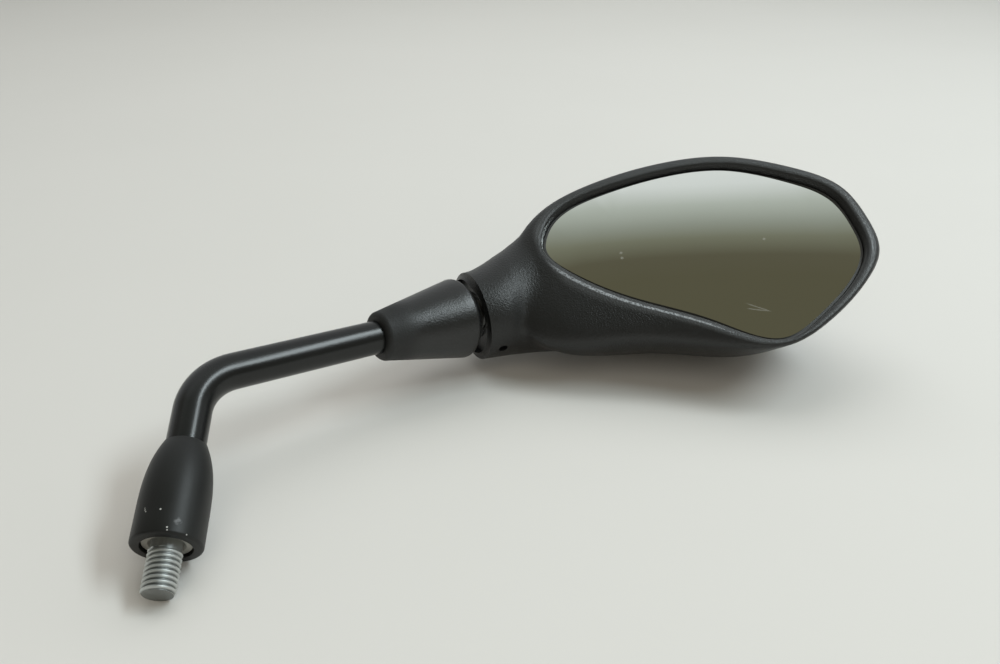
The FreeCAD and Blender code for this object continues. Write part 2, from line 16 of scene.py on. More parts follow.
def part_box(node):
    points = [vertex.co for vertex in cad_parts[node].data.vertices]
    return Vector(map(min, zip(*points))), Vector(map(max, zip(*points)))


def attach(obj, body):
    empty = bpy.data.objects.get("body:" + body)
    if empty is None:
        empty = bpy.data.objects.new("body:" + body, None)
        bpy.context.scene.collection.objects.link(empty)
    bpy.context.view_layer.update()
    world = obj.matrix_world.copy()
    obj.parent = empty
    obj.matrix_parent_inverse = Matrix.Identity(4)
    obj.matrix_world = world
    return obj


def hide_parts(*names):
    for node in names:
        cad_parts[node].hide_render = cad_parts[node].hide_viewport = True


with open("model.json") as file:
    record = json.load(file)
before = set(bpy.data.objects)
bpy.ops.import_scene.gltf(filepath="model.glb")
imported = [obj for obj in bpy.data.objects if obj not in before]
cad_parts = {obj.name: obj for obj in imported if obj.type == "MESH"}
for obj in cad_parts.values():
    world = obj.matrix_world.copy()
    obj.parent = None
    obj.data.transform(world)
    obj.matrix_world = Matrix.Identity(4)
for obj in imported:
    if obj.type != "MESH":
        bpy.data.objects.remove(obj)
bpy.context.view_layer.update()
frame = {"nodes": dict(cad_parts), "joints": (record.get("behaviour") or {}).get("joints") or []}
nodes = frame["nodes"]
bpy.ops.object.select_all(action="DESELECT")
bpy.context.scene.view_settings.view_transform = "Standard"
MM = 0.001

# %% [markdown]
# ## Where the camera stands
# The picture looks down on a mirror that lies on a table, so the table is not level in the model's own
# frame. A camera can be placed by eye, but here its place and its three axes are known, so they go
# straight into its matrix. The field of view follows from the focal length and a 36 mm wide sensor.

# %% Camera
CAMERA_PLACE = Vector((-17.132, -264.362, -115.583)) * MM
CAMERA_RIGHT = Vector((0.91667, -0.39827, -0.03321))
CAMERA_UP = Vector((-0.21601, -0.56364, 0.79728))
CAMERA_BACK = Vector((-0.33625, -0.72366, -0.60270))
FOCAL_LENGTH = 34.304

camera_data = bpy.data.cameras.new("photo_camera")
camera_data.lens = FOCAL_LENGTH
camera_data.sensor_fit = "HORIZONTAL"
camera_data.sensor_width = 36.0
camera_data.clip_start = 0.01
camera = bpy.data.objects.new("photo_camera", camera_data)
bpy.context.scene.collection.objects.link(camera)
axes = Matrix((CAMERA_RIGHT, CAMERA_UP, CAMERA_BACK)).transposed().to_4x4()
camera.matrix_world = Matrix.Translation(CAMERA_PLACE) @ axes
bpy.context.scene.camera = camera
print("camera at", [round(value, 3) for value in CAMERA_PLACE])

# %% [markdown]
# ## Sums on surfaces
# A finish is a net of nodes, and sums on them are easier to read as Python. The class below holds one
# socket. Adding or multiplying two of them adds a Math node, and its method node adds any other kind:
# settings first, then what goes into the sockets.

# %% A socket that can be used in sums
def plug(tree, socket, value):
    if isinstance(value, Wire):
        tree.links.new(value.socket, socket)
    else:
        socket.default_value = value


class Wire:
    """One socket of a node tree, for use in Python expressions."""

    def __init__(self, tree, socket=None):
        self.tree = tree
        self.socket = socket

    def node(self, kind, settings=None, sockets=None, out=0):
        made = self.tree.nodes.new("ShaderNode" + kind)
        for name, value in (settings or {}).items():
            if name == "stops":
                paint_ramp(made.color_ramp, value)
            else:
                setattr(made, name, value)
        for name, value in (sockets or {}).items():
            plug(self.tree, made.inputs[name], value)
        return Wire(self.tree, made.outputs[out])

    def sum(self, operation, first, second):
        return self.node("Math", {"operation": operation}, {0: first, 1: second})

    def __add__(self, other):
        return self.sum("ADD", self, other)

    def __radd__(self, other):
        return self.sum("ADD", other, self)

    def __sub__(self, other):
        return self.sum("SUBTRACT", self, other)

    def __rsub__(self, other):
        return self.sum("SUBTRACT", other, self)

    def __mul__(self, other):
        return self.sum("MULTIPLY", self, other)

    def __rmul__(self, other):
        return self.sum("MULTIPLY", other, self)

    def __pow__(self, other):
        return self.sum("POWER", self, other)


def paint_ramp(ramp, stops):
    while len(ramp.elements) < len(stops):
        ramp.elements.new(1.0)
    for element, (place, colour) in zip(ramp.elements, stops):
        element.position = place
        element.color = (*colour, 1.0)


print("sums on sockets ready")

# %% [markdown]
# ## Tools for patterns
# Most finishes need the same few things: a place on the piece, some noise, a soft step from 0 to 1, a mix
# of two colours, and a bump. Small functions keep each finish short. Every pattern is set on Object
# coordinates, in metres, so a scale of 1000 is about one feature in each millimetre.

# %% Pattern helpers
def noise(place, scale, detail):
    sockets = {"Vector": place, "Scale": scale, "Detail": detail}
    return place.node("TexNoise", {"noise_dimensions": "3D"}, sockets)


def cells(place, scale):
    sockets = {"Vector": place, "Scale": scale, "Smoothness": 0.6}
    return place.node("TexVoronoi", {"feature": "SMOOTH_F1"}, sockets)


def step(value, low, high):
    sockets = {"Value": value, "From Min": low, "From Max": high, "To Min": 0.0, "To Max": 1.0}
    return value.node("MapRange", {"interpolation_type": "SMOOTHSTEP"}, sockets)


def blend_colour(mask, first, second):
    return mask.node("Mix", {"data_type": "RGBA"}, {0: mask, 6: first, 7: second}, out=2)


def along(place, direction):
    sockets = {0: place, 1: tuple(direction)}
    return place.node("VectorMath", {"operation": "DOT_PRODUCT"}, sockets, out="Value")


def away(place, point):
    sockets = {0: place, 1: tuple(point)}
    return place.node("VectorMath", {"operation": "DISTANCE"}, sockets, out="Value")


def fleck(place, point, radius):
    return step(away(place, Vector(point) * MM), radius * MM, radius * 0.45 * MM)


def bump(height, depth, strength):
    return height.node("Bump", {}, {"Height": height, "Distance": depth, "Strength": strength})


def new_finish(name, **constants):
    material = bpy.data.materials.new(name)
    material.use_nodes = True
    tree = material.node_tree
    shader = tree.nodes["Principled BSDF"]
    for socket, value in constants.items():
        shader.inputs[socket.replace("_", " ")].default_value = value
    place = Wire(tree).node("TexCoord", out="Object")
    return material, shader, place


def drive(shader, **wires):
    for socket, wire in wires.items():
        plug(wire.tree, shader.inputs[socket.replace("_", " ")], wire)


def rgb(red, green, blue):
    return (red, green, blue, 1.0)


print("pattern helpers ready")

# %% [markdown]
# ## The table
# The mirror lies on a plain pale table on three points: the tip of the stud, the boot and the belly of the
# head. A plane is added flat and turned so that its normal is the table's. Seen from behind it would
# hide the part, so its back is made clear with Geometry's Backfacing.

# %% Table top
TABLE_UP = Vector((-0.348189, -0.837455, 0.421229)).normalized()
TABLE_BACK = Vector((0.195757, 0.374484, 0.906334)).normalized()
TABLE_RIGHT = TABLE_BACK.cross(TABLE_UP)
CAMERA_HEIGHT = 188.5 * MM
TABLE_SIZE = 9.0

bpy.ops.mesh.primitive_plane_add(size=TABLE_SIZE)
table = bpy.context.object
table.name = "table_top"
turn = Matrix((TABLE_RIGHT, TABLE_BACK, TABLE_UP)).transposed().to_4x4()
table.matrix_world = Matrix.Translation(CAMERA_PLACE - TABLE_UP * CAMERA_HEIGHT) @ turn
bpy.ops.object.transform_apply(location=True, rotation=True, scale=True)

paper, paper_shader, place = new_finish("table_paper", Roughness=0.85, Specular_IOR_Level=0.1)
faint = noise(place, 6.0, 4.0)
pale = blend_colour(faint, rgb(0.625, 0.618, 0.598), rgb(0.648, 0.640, 0.622))
drive(paper_shader, Base_Color=pale)
back_side = place.node("NewGeometry", out="Backfacing")
clear = place.node("BsdfTransparent")
shown = Wire(paper.node_tree, paper_shader.outputs[0])
mixed = place.node("MixShader", {}, {0: back_side, 1: shown, 2: clear})
plug(paper.node_tree, paper.node_tree.nodes["Material Output"].inputs["Surface"], mixed)
table.data.materials.append(paper)
print("table top laid")

# %% [markdown]
# ## Light
# One long window at the right gives the crisp line along both legs of the painted stem, and a panel above
# and behind gives the soft shadow in front of the head. A warm fill from the front keeps the shadow open.
# The world is pale towards the back and a dull olive overhead, and that is what the glass shows. Rays
# straight from the camera see a plain pale colour.

# %% World and lamps
world = bpy.data.worlds.new("room_light")
bpy.context.scene.world = world
world.use_nodes = True
sky = Wire(world.node_tree)
heading = sky.node("TexCoord", out="Generated")
towards_back = along(heading, TABLE_BACK)
stops = [
    (0.00, (0.104, 0.098, 0.061)),
    (0.18, (0.110, 0.104, 0.068)),
    (0.34, (0.190, 0.196, 0.142)),
    (0.47, (0.300, 0.325, 0.275)),
    (0.64, (0.470, 0.510, 0.460)),
    (0.80, (0.720, 0.760, 0.740)),
    (1.00, (0.800, 0.840, 0.820)),
]
fade = sky.node("MapRange", {}, {"Value": towards_back, "From Min": 0.04, "From Max": 0.24})
ceiling = sky.node("ValToRGB", {"stops": stops}, {0: fade})
overhead = step(along(heading, TABLE_UP), 0.70, 0.92)
room = blend_colour(overhead, rgb(0.21, 0.20, 0.168), ceiling)
room = blend_colour(step(towards_back, 0.26, 0.50), room, rgb(0.58, 0.60, 0.60))
seen = sky.node("LightPath", out="Is Camera Ray")
shown_sky = blend_colour(seen, room, rgb(0.76, 0.77, 0.755))
plug(world.node_tree, world.node_tree.nodes["Background"].inputs["Color"], shown_sky)
world.node_tree.nodes["Background"].inputs["Strength"].default_value = 1.0

MIDDLE = Vector((95.0, -15.0, 85.0)) * MM


def on_table(right, up, back):
    return (TABLE_RIGHT * right + TABLE_UP * up + TABLE_BACK * back).normalized()


def soft_lamp(name, heading, length_along, distance, width, length, power, colour):
    data = bpy.data.lights.new(name, "AREA")
    data.shape = "RECTANGLE"
    data.size = width
    data.size_y = length
    data.energy = power
    data.color = colour
    lamp = bpy.data.objects.new(name, data)
    bpy.context.scene.collection.objects.link(lamp)
    across = length_along.cross(heading).normalized()
    upright = heading.cross(across)
    turn = Matrix((across, upright, heading)).transposed().to_4x4()
    lamp.matrix_world = Matrix.Translation(MIDDLE + heading * distance) @ turn
    return lamp


soft_lamp(
    "window", heading=on_table(0.62, 0.765, -0.03), length_along=on_table(-0.12, 0.10, 0.60),
    distance=1.5, width=0.30, length=0.95, power=13.0, colour=(0.86, 0.97, 1.0),
)
panel = soft_lamp(
    "panel", heading=on_table(0.05, 0.86, 0.50), length_along=TABLE_RIGHT,
    distance=1.3, width=1.3, length=1.3, power=7.2, colour=(1.0, 0.985, 0.955),
)
fill = soft_lamp(
    "fill", heading=on_table(0.12, 0.55, -0.80), length_along=TABLE_RIGHT,
    distance=1.3, width=1.4, length=1.2, power=5.6, colour=(1.0, 0.92, 0.80),
)
for lamp in (panel, fill):
    lamp.visible_glossy = False
print("lamps: window, panel and fill")

# %% [markdown]
# ## Copies of solids
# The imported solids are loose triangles. Where one needs smooth shading, a copy is made, its doubled
# corners are merged and it is shaded smooth below an angle. The copy then stands for the solid, which
# stays behind, unseen, for the motion.

# %% Smooth copies
MERGE = 0.002 * MM
FINE_ANGLE = math.radians(32.0)
COARSE_ANGLE = math.radians(40.0)


def choose(piece):
    bpy.ops.object.select_all(action="DESELECT")
    piece.select_set(True)
    bpy.context.view_layer.objects.active = piece


def twin(piece, name):
    made = piece.copy()
    made.data = piece.data.copy()
    made.name = name
    bpy.context.scene.collection.objects.link(made)
    return made


def merge_corners(piece):
    choose(piece)
    bpy.ops.object.mode_set(mode="EDIT")
    bpy.ops.mesh.select_all(action="SELECT")
    bpy.ops.mesh.remove_doubles(threshold=MERGE)
    bpy.ops.object.mode_set(mode="OBJECT")


def stand_in(node, name, body, angle=FINE_ANGLE):
    piece = twin(nodes[node], name)
    piece.parent = None
    for key in list(piece.keys()):
        del piece[key]
    choose(piece)
    bpy.ops.mesh.customdata_custom_splitnormals_clear()
    merge_corners(piece)
    bpy.ops.object.shade_smooth_by_angle(angle=angle)
    piece.data.materials.clear()
    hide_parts(node)
    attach(piece, body)
    print(name, "stands for", node, len(piece.data.polygons), "faces")
    return piece


stem = stand_in("stem_tube", "stem", "stem")
nut = stand_in("lock_nut", "nut", "stem")
cover = stand_in("joint_cover", "cover", "stem")
shell = stand_in("mirror_shell", "shell", "head", angle=COARSE_ANGLE)
glass = stand_in("mirror_glass", "glass", "head")
seal = stand_in("glass_seal", "seal", "head")

# %% [markdown]
# ## Where the neck and the rim lie
# The head is shaped about two directions: the line of its neck and the way its rim faces. They could be
# typed in, but read from the solids they follow any change of the part. The neck runs from the ball to the
# plate behind its spring, and the rim faces away from the flat back of the plate that carries the glass.

# %% Directions of the head
FACING_BACK = -0.97
PAST_NECK = 45.0 * MM


def middle_of(node):
    low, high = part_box(node)
    return (Vector(low) + Vector(high)) / 2


BALL_CENTRE = Vector(frame["joints"][0]["pos_m"])
NECK_AXIS = (middle_of("spring_plate") - BALL_CENTRE).normalized()
outwards = middle_of("mirror_glass") - middle_of("glass_carrier")
HEAD_OUT = Vector()
for face in nodes["glass_carrier"].data.polygons:
    if face.normal.dot(outwards.normalized()) < FACING_BACK:
        HEAD_OUT = HEAD_OUT - face.normal * face.area
HEAD_OUT.normalize()


def past(vertex):
    return (vertex.co - BALL_CENTRE).dot(NECK_AXIS)


def crest_height(piece):
    return max(vertex.co.dot(HEAD_OUT) for vertex in piece.data.vertices if past(vertex) > PAST_NECK)


rim_height = crest_height(shell)
print("neck axis", NECK_AXIS, "front of the head", HEAD_OUT, "crest of the rim", rim_height)

# %% [markdown]
# ## Cutting and smoothing
# A modifier can stay live, but here each is applied at once, since the next step needs its result. A cut is
# Bisect in Edit Mode, which clears the mesh on one side of a plane. Smoothing by a vertex group spares the
# places whose weight is low.

# %% Tools for the shell
SMOOTHING = 0.5


def apply_modifier(piece, kind, **settings):
    modifier = piece.modifiers.new(kind.lower(), kind)
    for name, value in settings.items():
        setattr(modifier, name, value)
    bpy.context.view_layer.objects.active = piece
    bpy.ops.object.modifier_apply(modifier=modifier.name)


def remesh(piece, size):
    apply_modifier(piece, "REMESH", mode="VOXEL", voxel_size=size, adaptivity=0.0, use_smooth_shade=True)


def soften(piece, name, weight, rounds):
    group = piece.vertex_groups.new(name=name)
    for vertex in piece.data.vertices:
        group.add([vertex.index], weight(vertex), "REPLACE")
    apply_modifier(piece, "SMOOTH", factor=SMOOTHING, iterations=rounds, vertex_group=name)


def trim(piece, point, normal, keep_ahead):
    choose(piece)
    bpy.ops.object.mode_set(mode="EDIT")
    bpy.ops.mesh.select_all(action="SELECT")
    bpy.ops.mesh.bisect(
        plane_co=point, plane_no=normal, use_fill=False,
        clear_inner=keep_ahead, clear_outer=not keep_ahead,
    )
    bpy.ops.object.mode_set(mode="OBJECT")


print("tools for the shell ready")

# %% [markdown]
# ## Where the skin may move
# A weight of 1 lets a corner of the mesh move and 0 holds it. The first set of weights frees what lies
# behind the rim or on the neck, past the neck's lip. The second starts further from the lip and the rim, so
# it frees only the flanks and the saddle between neck and belly. Each band gives, in millimetres, where a
# weight begins to change and where it has changed in full.

# %% Weights
SKIN_FLANK = (2.2, 7.0)
SKIN_NECK = (18.0, 23.5)
SKIN_LIP = (2.4, 7.0)
SADDLE_FLANK = (4.0, 12.0)
SADDLE_NECK = (14.0, 19.0)
SADDLE_LIP = (9.0, 16.0)
LEAST_WEIGHT = 0.02


def ramp_between(value, band):
    low, high = band
    return min(1.0, max(0.0, (value - low * MM) / ((high - low) * MM)))


def freedom(vertex, flank_band, neck_band, lip_band):
    flank = ramp_between(rim_height - vertex.co.dot(HEAD_OUT), flank_band)
    on_neck = 1.0 - ramp_between(past(vertex), neck_band)
    return max(flank, on_neck) * ramp_between(past(vertex), lip_band)


def skin_weight(vertex):
    return LEAST_WEIGHT + (1.0 - LEAST_WEIGHT) * freedom(vertex, SKIN_FLANK, SKIN_NECK, SKIN_LIP)


def saddle_weight(vertex):
    return freedom(vertex, SADDLE_FLANK, SADDLE_NECK, SADDLE_LIP)


print("weights ready")

# %% [markdown]
# ## One flowing skin for the head
# The solid's neck meets its belly in a crease, but the real moulding flows. A crease could be softened with
# sculpting by hand. Here the copy is remeshed into small even faces and smoothed twice, a short pass by the
# first weights and a long one by the second. Small faces blur a crisp edge, so the lip is kept as a slice
# of the unchanged copy, and the rim is a slice with finer faces, lightly smoothed into a round bead.

# %% Flowing shell
VOXEL = 1.0 * MM
RIM_VOXEL = 0.42 * MM
RIM_ROUNDS = 34
SKIN_ROUNDS = 34
SADDLE_ROUNDS = 180
OVERLAP = 0.25 * MM
LIP_REACH = 1.7
NECK_REACH = 24.0
RIM_DEPTH = 2.0 * MM
NECK_SEAM = BALL_CENTRE + NECK_AXIS * LIP_REACH * MM
NECK_END = BALL_CENTRE + NECK_AXIS * NECK_REACH * MM
RIM_SEAM = HEAD_OUT * (rim_height - RIM_DEPTH)

lip = twin(shell, "lip")
trim(lip, NECK_SEAM + NECK_AXIS * OVERLAP, NECK_AXIS, keep_ahead=False)
rim = twin(shell, "rim")
remesh(rim, RIM_VOXEL)
apply_modifier(rim, "SMOOTH", factor=SMOOTHING, iterations=RIM_ROUNDS)
rim_crest = crest_height(rim)
trim(rim, NECK_END - NECK_AXIS * OVERLAP, NECK_AXIS, keep_ahead=True)
trim(rim, RIM_SEAM - HEAD_OUT * OVERLAP, HEAD_OUT, keep_ahead=True)

remesh(shell, VOXEL)
soften(shell, "soft", skin_weight, SKIN_ROUNDS)
soften(shell, "saddle", saddle_weight, SADDLE_ROUNDS)
neck = twin(shell, "neck")
trim(neck, NECK_SEAM, NECK_AXIS, keep_ahead=True)
trim(neck, NECK_END, NECK_AXIS, keep_ahead=False)
trim(shell, NECK_END, NECK_AXIS, keep_ahead=True)
trim(shell, RIM_SEAM, HEAD_OUT, keep_ahead=False)
choose(shell)
for slice_piece in (lip, rim, neck):
    slice_piece.select_set(True)
bpy.ops.object.join()
merge_corners(shell)
bpy.ops.object.shade_smooth_by_angle(angle=COARSE_ANGLE)
print("rim crest lowered by", round((rim_height - rim_crest) / MM, 3), "mm")
print("shell:", len(shell.data.polygons), "faces")

# %% [markdown]
# ## Turning a profile
# Round pieces start as half a section. It could be drawn as a curve, but a point that is extruded from
# corner to corner stays a plain mesh. The Screw modifier then turns it about the upright axis, or winds it
# up where it has a pitch.

# %% Profiles and turned blanks
DOT_SIZE = 0.1 * MM
WELD = 0.003 * MM
TURN_STEPS = 64


def draw_profile(name, points):
    bpy.ops.object.select_all(action="DESELECT")
    first = points[0]
    bpy.ops.mesh.primitive_plane_add(size=DOT_SIZE, location=(first[0] * MM, 0.0, first[1] * MM))
    piece = bpy.context.object
    piece.name = name
    bpy.ops.object.transform_apply(location=True, rotation=True, scale=True)
    bpy.ops.object.mode_set(mode="EDIT")
    bpy.ops.mesh.select_all(action="SELECT")
    bpy.ops.mesh.merge(type="CENTER")
    for start, end in zip(points, points[1:]):
        move = ((end[0] - start[0]) * MM, 0.0, (end[1] - start[1]) * MM)
        bpy.ops.mesh.extrude_region_move(TRANSFORM_OT_translate={"value": move})
    bpy.ops.object.mode_set(mode="OBJECT")
    return piece


def wind(piece, pitch=0.0, rounds=1):
    apply_modifier(
        piece, "SCREW", axis="Z", angle=math.tau, screw_offset=pitch * MM, iterations=rounds,
        steps=TURN_STEPS, render_steps=TURN_STEPS, use_merge_vertices=True, merge_threshold=WELD,
    )
    bpy.ops.object.mode_set(mode="EDIT")
    bpy.ops.mesh.select_all(action="SELECT")
    bpy.ops.mesh.remove_doubles(threshold=WELD)
    bpy.ops.mesh.normals_make_consistent(inside=False)
    bpy.ops.object.mode_set(mode="OBJECT")


print("profile tools ready")

# %% [markdown]
# ## The boot
# The solid boot is built from two arcs, which meet in a faint waist. The moulded one swells in a single
# curve, so it is turned again from a profile whose outer line follows one power of the height.

# %% Rubber boot
BOOT_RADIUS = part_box("nut_boot")[1][0] / MM
BOOT_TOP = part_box("nut_boot")[1][2] / MM
BOOT_EDGE = 0.9
SWELL_FROM = 8.0
NOSE_RADIUS = 6.45
SWELL_POWER = 3.1
LIP_RADIUS = 7.45
LIP_TOP = 1.85
CAVITY_RADIUS = 9.35
CAVITY_TOP = 9.43
BOOT_BORE = 6.03
EDGE_STEPS = 5
CURVE_STEPS = 26
CURVE_LOW = SWELL_FROM - 3.0
CURVE_HIGH = BOOT_TOP - 0.5


def boot_radius(height):
    rise = max(0.0, (height - SWELL_FROM) / (BOOT_TOP - SWELL_FROM))
    return BOOT_RADIUS - (BOOT_RADIUS - NOSE_RADIUS) * rise ** SWELL_POWER


boot_points = [(LIP_RADIUS, LIP_TOP), (LIP_RADIUS, 0.0), (BOOT_RADIUS - BOOT_EDGE, 0.0)]
for count in range(1, EDGE_STEPS + 1):
    turned = math.radians(90.0 * count / EDGE_STEPS)
    out = BOOT_RADIUS - BOOT_EDGE + BOOT_EDGE * math.sin(turned)
    boot_points.append((out, BOOT_EDGE - BOOT_EDGE * math.cos(turned)))
for count in range(CURVE_STEPS + 1):
    height = CURVE_LOW + (CURVE_HIGH - CURVE_LOW) * count / CURVE_STEPS
    boot_points.append((boot_radius(height), height))
boot_points += [
    (NOSE_RADIUS + 0.12, BOOT_TOP - 0.16), (NOSE_RADIUS - 0.12, BOOT_TOP),
    (BOOT_BORE, BOOT_TOP), (BOOT_BORE, CAVITY_TOP), (CAVITY_RADIUS, CAVITY_TOP),
    (CAVITY_RADIUS, LIP_TOP), (LIP_RADIUS, LIP_TOP),
]
boot = draw_profile("boot", boot_points)
wind(boot)
choose(boot)
bpy.ops.object.shade_smooth_by_angle(angle=FINE_ANGLE)
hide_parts("nut_boot")
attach(boot, "stem")
print("boot:", len(boot.data.polygons), "faces")

# %% [markdown]
# ## The thread
# The stud has a rolled thread with a pitch of 1.5 mm. A thread can be faked with bump, but its crests show
# in the outline, so it is modelled: one pitch of the profile is drawn by extruding a point, the Screw
# modifier winds it up, two cuts trim the ends, and a turned blank takes off the corner at the tip.

# %% Threaded stud
STUD_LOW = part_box("threaded_stud")[0][2] / MM
STUD_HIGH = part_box("threaded_stud")[1][2] / MM
PITCH = 1.5
CREST = 4.86
ROOT = 4.12
ROUNDS = 11
WOUND_FROM = STUD_LOW - 2.4
CUT_LOW = STUD_LOW - 0.6
THREAD_TOP = -1.2
TIP_CHAMFER = 0.55
BLANK_RADIUS = CREST + 0.4
BLANK_TOP = THREAD_TOP + 0.5
RUNOUT_RADIUS = ROOT + 0.2
SHANK_RADIUS = 4.38
SHANK_LOW = THREAD_TOP - 2.0

ridge = [
    (0.00, 0.0), (0.10, 0.06), (0.55, 0.30), (0.70, 0.40), (0.74, 0.52),
    (0.74, 0.68), (0.70, 0.80), (0.55, 0.90), (0.10, 1.28), (0.00, 1.36), (0.00, PITCH),
]
thread = draw_profile("thread", [(ROOT + out, WOUND_FROM + up) for out, up in ridge])
wind(thread, PITCH, ROUNDS)

bpy.ops.object.mode_set(mode="EDIT")
for height, keep_up in ((CUT_LOW, True), (THREAD_TOP, False)):
    bpy.ops.mesh.select_all(action="SELECT")
    bpy.ops.mesh.bisect(
        plane_co=(0.0, 0.0, height * MM), plane_no=(0.0, 0.0, 1.0), use_fill=True,
        clear_inner=keep_up, clear_outer=not keep_up,
    )
bpy.ops.mesh.select_all(action="SELECT")
bpy.ops.mesh.normals_make_consistent(inside=False)
bpy.ops.object.mode_set(mode="OBJECT")

blank_points = [
    (0.0, STUD_LOW), (CREST - TIP_CHAMFER, STUD_LOW), (BLANK_RADIUS, STUD_LOW + 1.1),
    (BLANK_RADIUS, THREAD_TOP - 0.5), (RUNOUT_RADIUS, BLANK_TOP), (0.0, BLANK_TOP),
]
blank = draw_profile("blank", blank_points)
wind(blank)
apply_modifier(thread, "BOOLEAN", operation="INTERSECT", object=blank, solver="EXACT")
bpy.data.objects.remove(blank)

shank_points = [
    (0.0, SHANK_LOW), (ROOT + 0.1, SHANK_LOW), (RUNOUT_RADIUS, THREAD_TOP + 0.3),
    (SHANK_RADIUS, THREAD_TOP + 1.0), (SHANK_RADIUS, STUD_HIGH), (0.0, STUD_HIGH),
]
shank = draw_profile("shank", shank_points)
wind(shank)
choose(thread)
shank.select_set(True)
bpy.ops.object.join()
thread.name = "stud"
bpy.ops.object.shade_smooth_by_angle(angle=COARSE_ANGLE)
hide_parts("threaded_stud")
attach(thread, "stem")
print("stud:", len(thread.data.polygons), "faces")

# %% [markdown]
# ## Grained black plastic
# The head and the cone are moulded in black plastic from a grained tool. The grain is a net of small cells,
# about half a millimetre wide, that breaks up the sheen. A plain bump of noise looks like sandpaper, so
# smooth cells are mixed with finer noise. The crest of the rim is greyed, partly as wear and partly as a
# painted sheen, and a thin broken pale line on it is faint rubbed wear all round and a painted highlight
# along its lower run. The cone is duller towards its small end and has one dark dot.

# %% Plastic finish
COVER_AXIS = Vector(frame["joints"][0]["axis"]).normalized()
NECK_FOOT = BALL_CENTRE.dot(NECK_AXIS)
RIM_BEGINS = (NECK_FOOT + 22.0 * MM, NECK_FOOT + 26.0 * MM)
# heights over which the painted highlight along the rim's lower run fades in
PAINTED_HIGHLIGHT_RUN = (0.140, 0.105)
CONE_END = (0.108, 0.099)
CONE_DARK_DOT = (82.1, -14.07, 104.23)


def grained_plastic(name, dark, light, gloss, dullness, grain, rim=None):
    material, shader, place = new_finish(name, Specular_IOR_Level=gloss, IOR=1.5)
    net = cells(place, 1700.0)
    fine = noise(place, 4200.0, 2.0)
    cloudy = noise(place, 45.0, 4.0)
    height = net * 0.7 + fine * 0.5
    black = blend_colour(cloudy, rgb(dark, dark * 1.1, dark * 1.12), rgb(light, light * 1.06, light * 1.08))
    dull = dullness + 0.07 * cloudy + 0.08 * fine
    if rim is not None:
        on_rim = step(along(place, NECK_AXIS), *RIM_BEGINS)
        height_out = along(place, HEAD_OUT)
        # greyed crest: partly wear, partly a painted sheen
        greyed_and_sheen = on_rim * step(height_out, rim - 0.5 * MM, rim - 0.05 * MM)
        black = blend_colour(greyed_and_sheen * (0.60 + 0.4 * cloudy), black, rgb(0.040, 0.043, 0.045))
        # thin pale line on the crest: faint rubbed wear all round, and a painted highlight along the lower
        # run
        rubbed_and_highlight = on_rim * step(height_out, rim - 0.036 * MM, rim - 0.002 * MM) ** 2.0
        lower = step(along(place, (0.0, 0.0, 1.0)), *PAINTED_HIGHLIGHT_RUN)
        rubbed_and_highlight = rubbed_and_highlight * step(noise(place, 1500.0, 4.0), 0.28, 0.62) * (0.10 + 0.80 * lower)
        black = blend_colour(rubbed_and_highlight, black, rgb(0.34, 0.37, 0.40))
    else:
        dull = dull + 0.30 * step(along(place, COVER_AXIS), *CONE_END)
        # a small dark dot painted on the cone
        black = blend_colour(fleck(place, CONE_DARK_DOT, 0.55), black, rgb(0.001, 0.001, 0.001))
    drive(shader, Base_Color=black, Roughness=dull, Normal=bump(height, grain, 0.9))
    return material


moulded = grained_plastic(
    "shell_plastic", dark=0.0066, light=0.0105, gloss=0.50, dullness=0.33, grain=0.17 * MM, rim=rim_crest,
)
shell.data.materials.append(moulded)
cone_plastic = grained_plastic(
    "cover_plastic", dark=0.0038, light=0.0066, gloss=0.62, dullness=0.27, grain=0.10 * MM,
)
cover.data.materials.append(cone_plastic)
print("grained plastic on shell and cover")

# %% [markdown]
# ## Painted stem
# The tube is painted satin black. Paint flows, so it is smoother than plastic: a wide faint ripple, small
# changes in gloss where hands have been, and a thin clear coat.

# %% Paint finish
paint, shader, place = new_finish("stem_paint", Specular_IOR_Level=0.40, Coat_Roughness=0.2)
ripple = noise(place, 420.0, 2.0)
handled = noise(place, 60.0, 5.0)
colour = blend_colour(handled, rgb(0.0045, 0.0052, 0.0052), rgb(0.0075, 0.0082, 0.0082))
shine = 0.23 + 0.07 * handled
drive(shader, Base_Color=colour, Roughness=shine, Coat_Weight=0.10 * handled)
drive(shader, Normal=bump(ripple, 0.02 * MM, 0.25))
stem.data.materials.append(paint)
print("paint on the stem")

# %% [markdown]
# ## Rubber boot
# The boot is smooth black rubber with a soft sheen, and a few pale flecks and a small scuff near its foot.
# They could be painted on a texture, but a soft ball of colour at its own place needs no picture.

# %% Rubber finish
rubber, shader, place = new_finish("boot_rubber", Specular_IOR_Level=0.40)
bloom = noise(place, 110.0, 4.0)
skin = noise(place, 1500.0, 3.0)
colour = blend_colour(bloom, rgb(0.0050, 0.0055, 0.0053), rgb(0.0090, 0.0098, 0.0096))
flecks = fleck(place, (-4.05, -9.41, 6.98), 0.36)
for point, size in (
    ((-1.51, -10.14, 1.67), 0.34), ((-1.36, -10.15, 0.85), 0.26), ((3.98, -9.35, 0.60), 0.26),
    ((-7.87, -6.56, 7.38), 0.26), ((-7.98, -6.40, 8.00), 0.22), ((-7.60, -6.85, 6.80), 0.24),
):
    flecks = flecks + fleck(place, point, size)
colour = blend_colour(step(flecks, 0.0, 1.0), colour, rgb(0.42, 0.43, 0.42))
scuff = fleck(place, (1.04, -10.19, 3.84), 1.4) * step(noise(place, 900.0, 3.0), 0.38, 0.70)
colour = blend_colour(scuff * 0.5, colour, rgb(0.20, 0.21, 0.22))
drive(shader, Base_Color=colour, Roughness=0.41 + 0.12 * bloom, Normal=bump(skin, 0.02 * MM, 0.3))
boot.data.materials.append(rubber)
print("rubber on the boot")

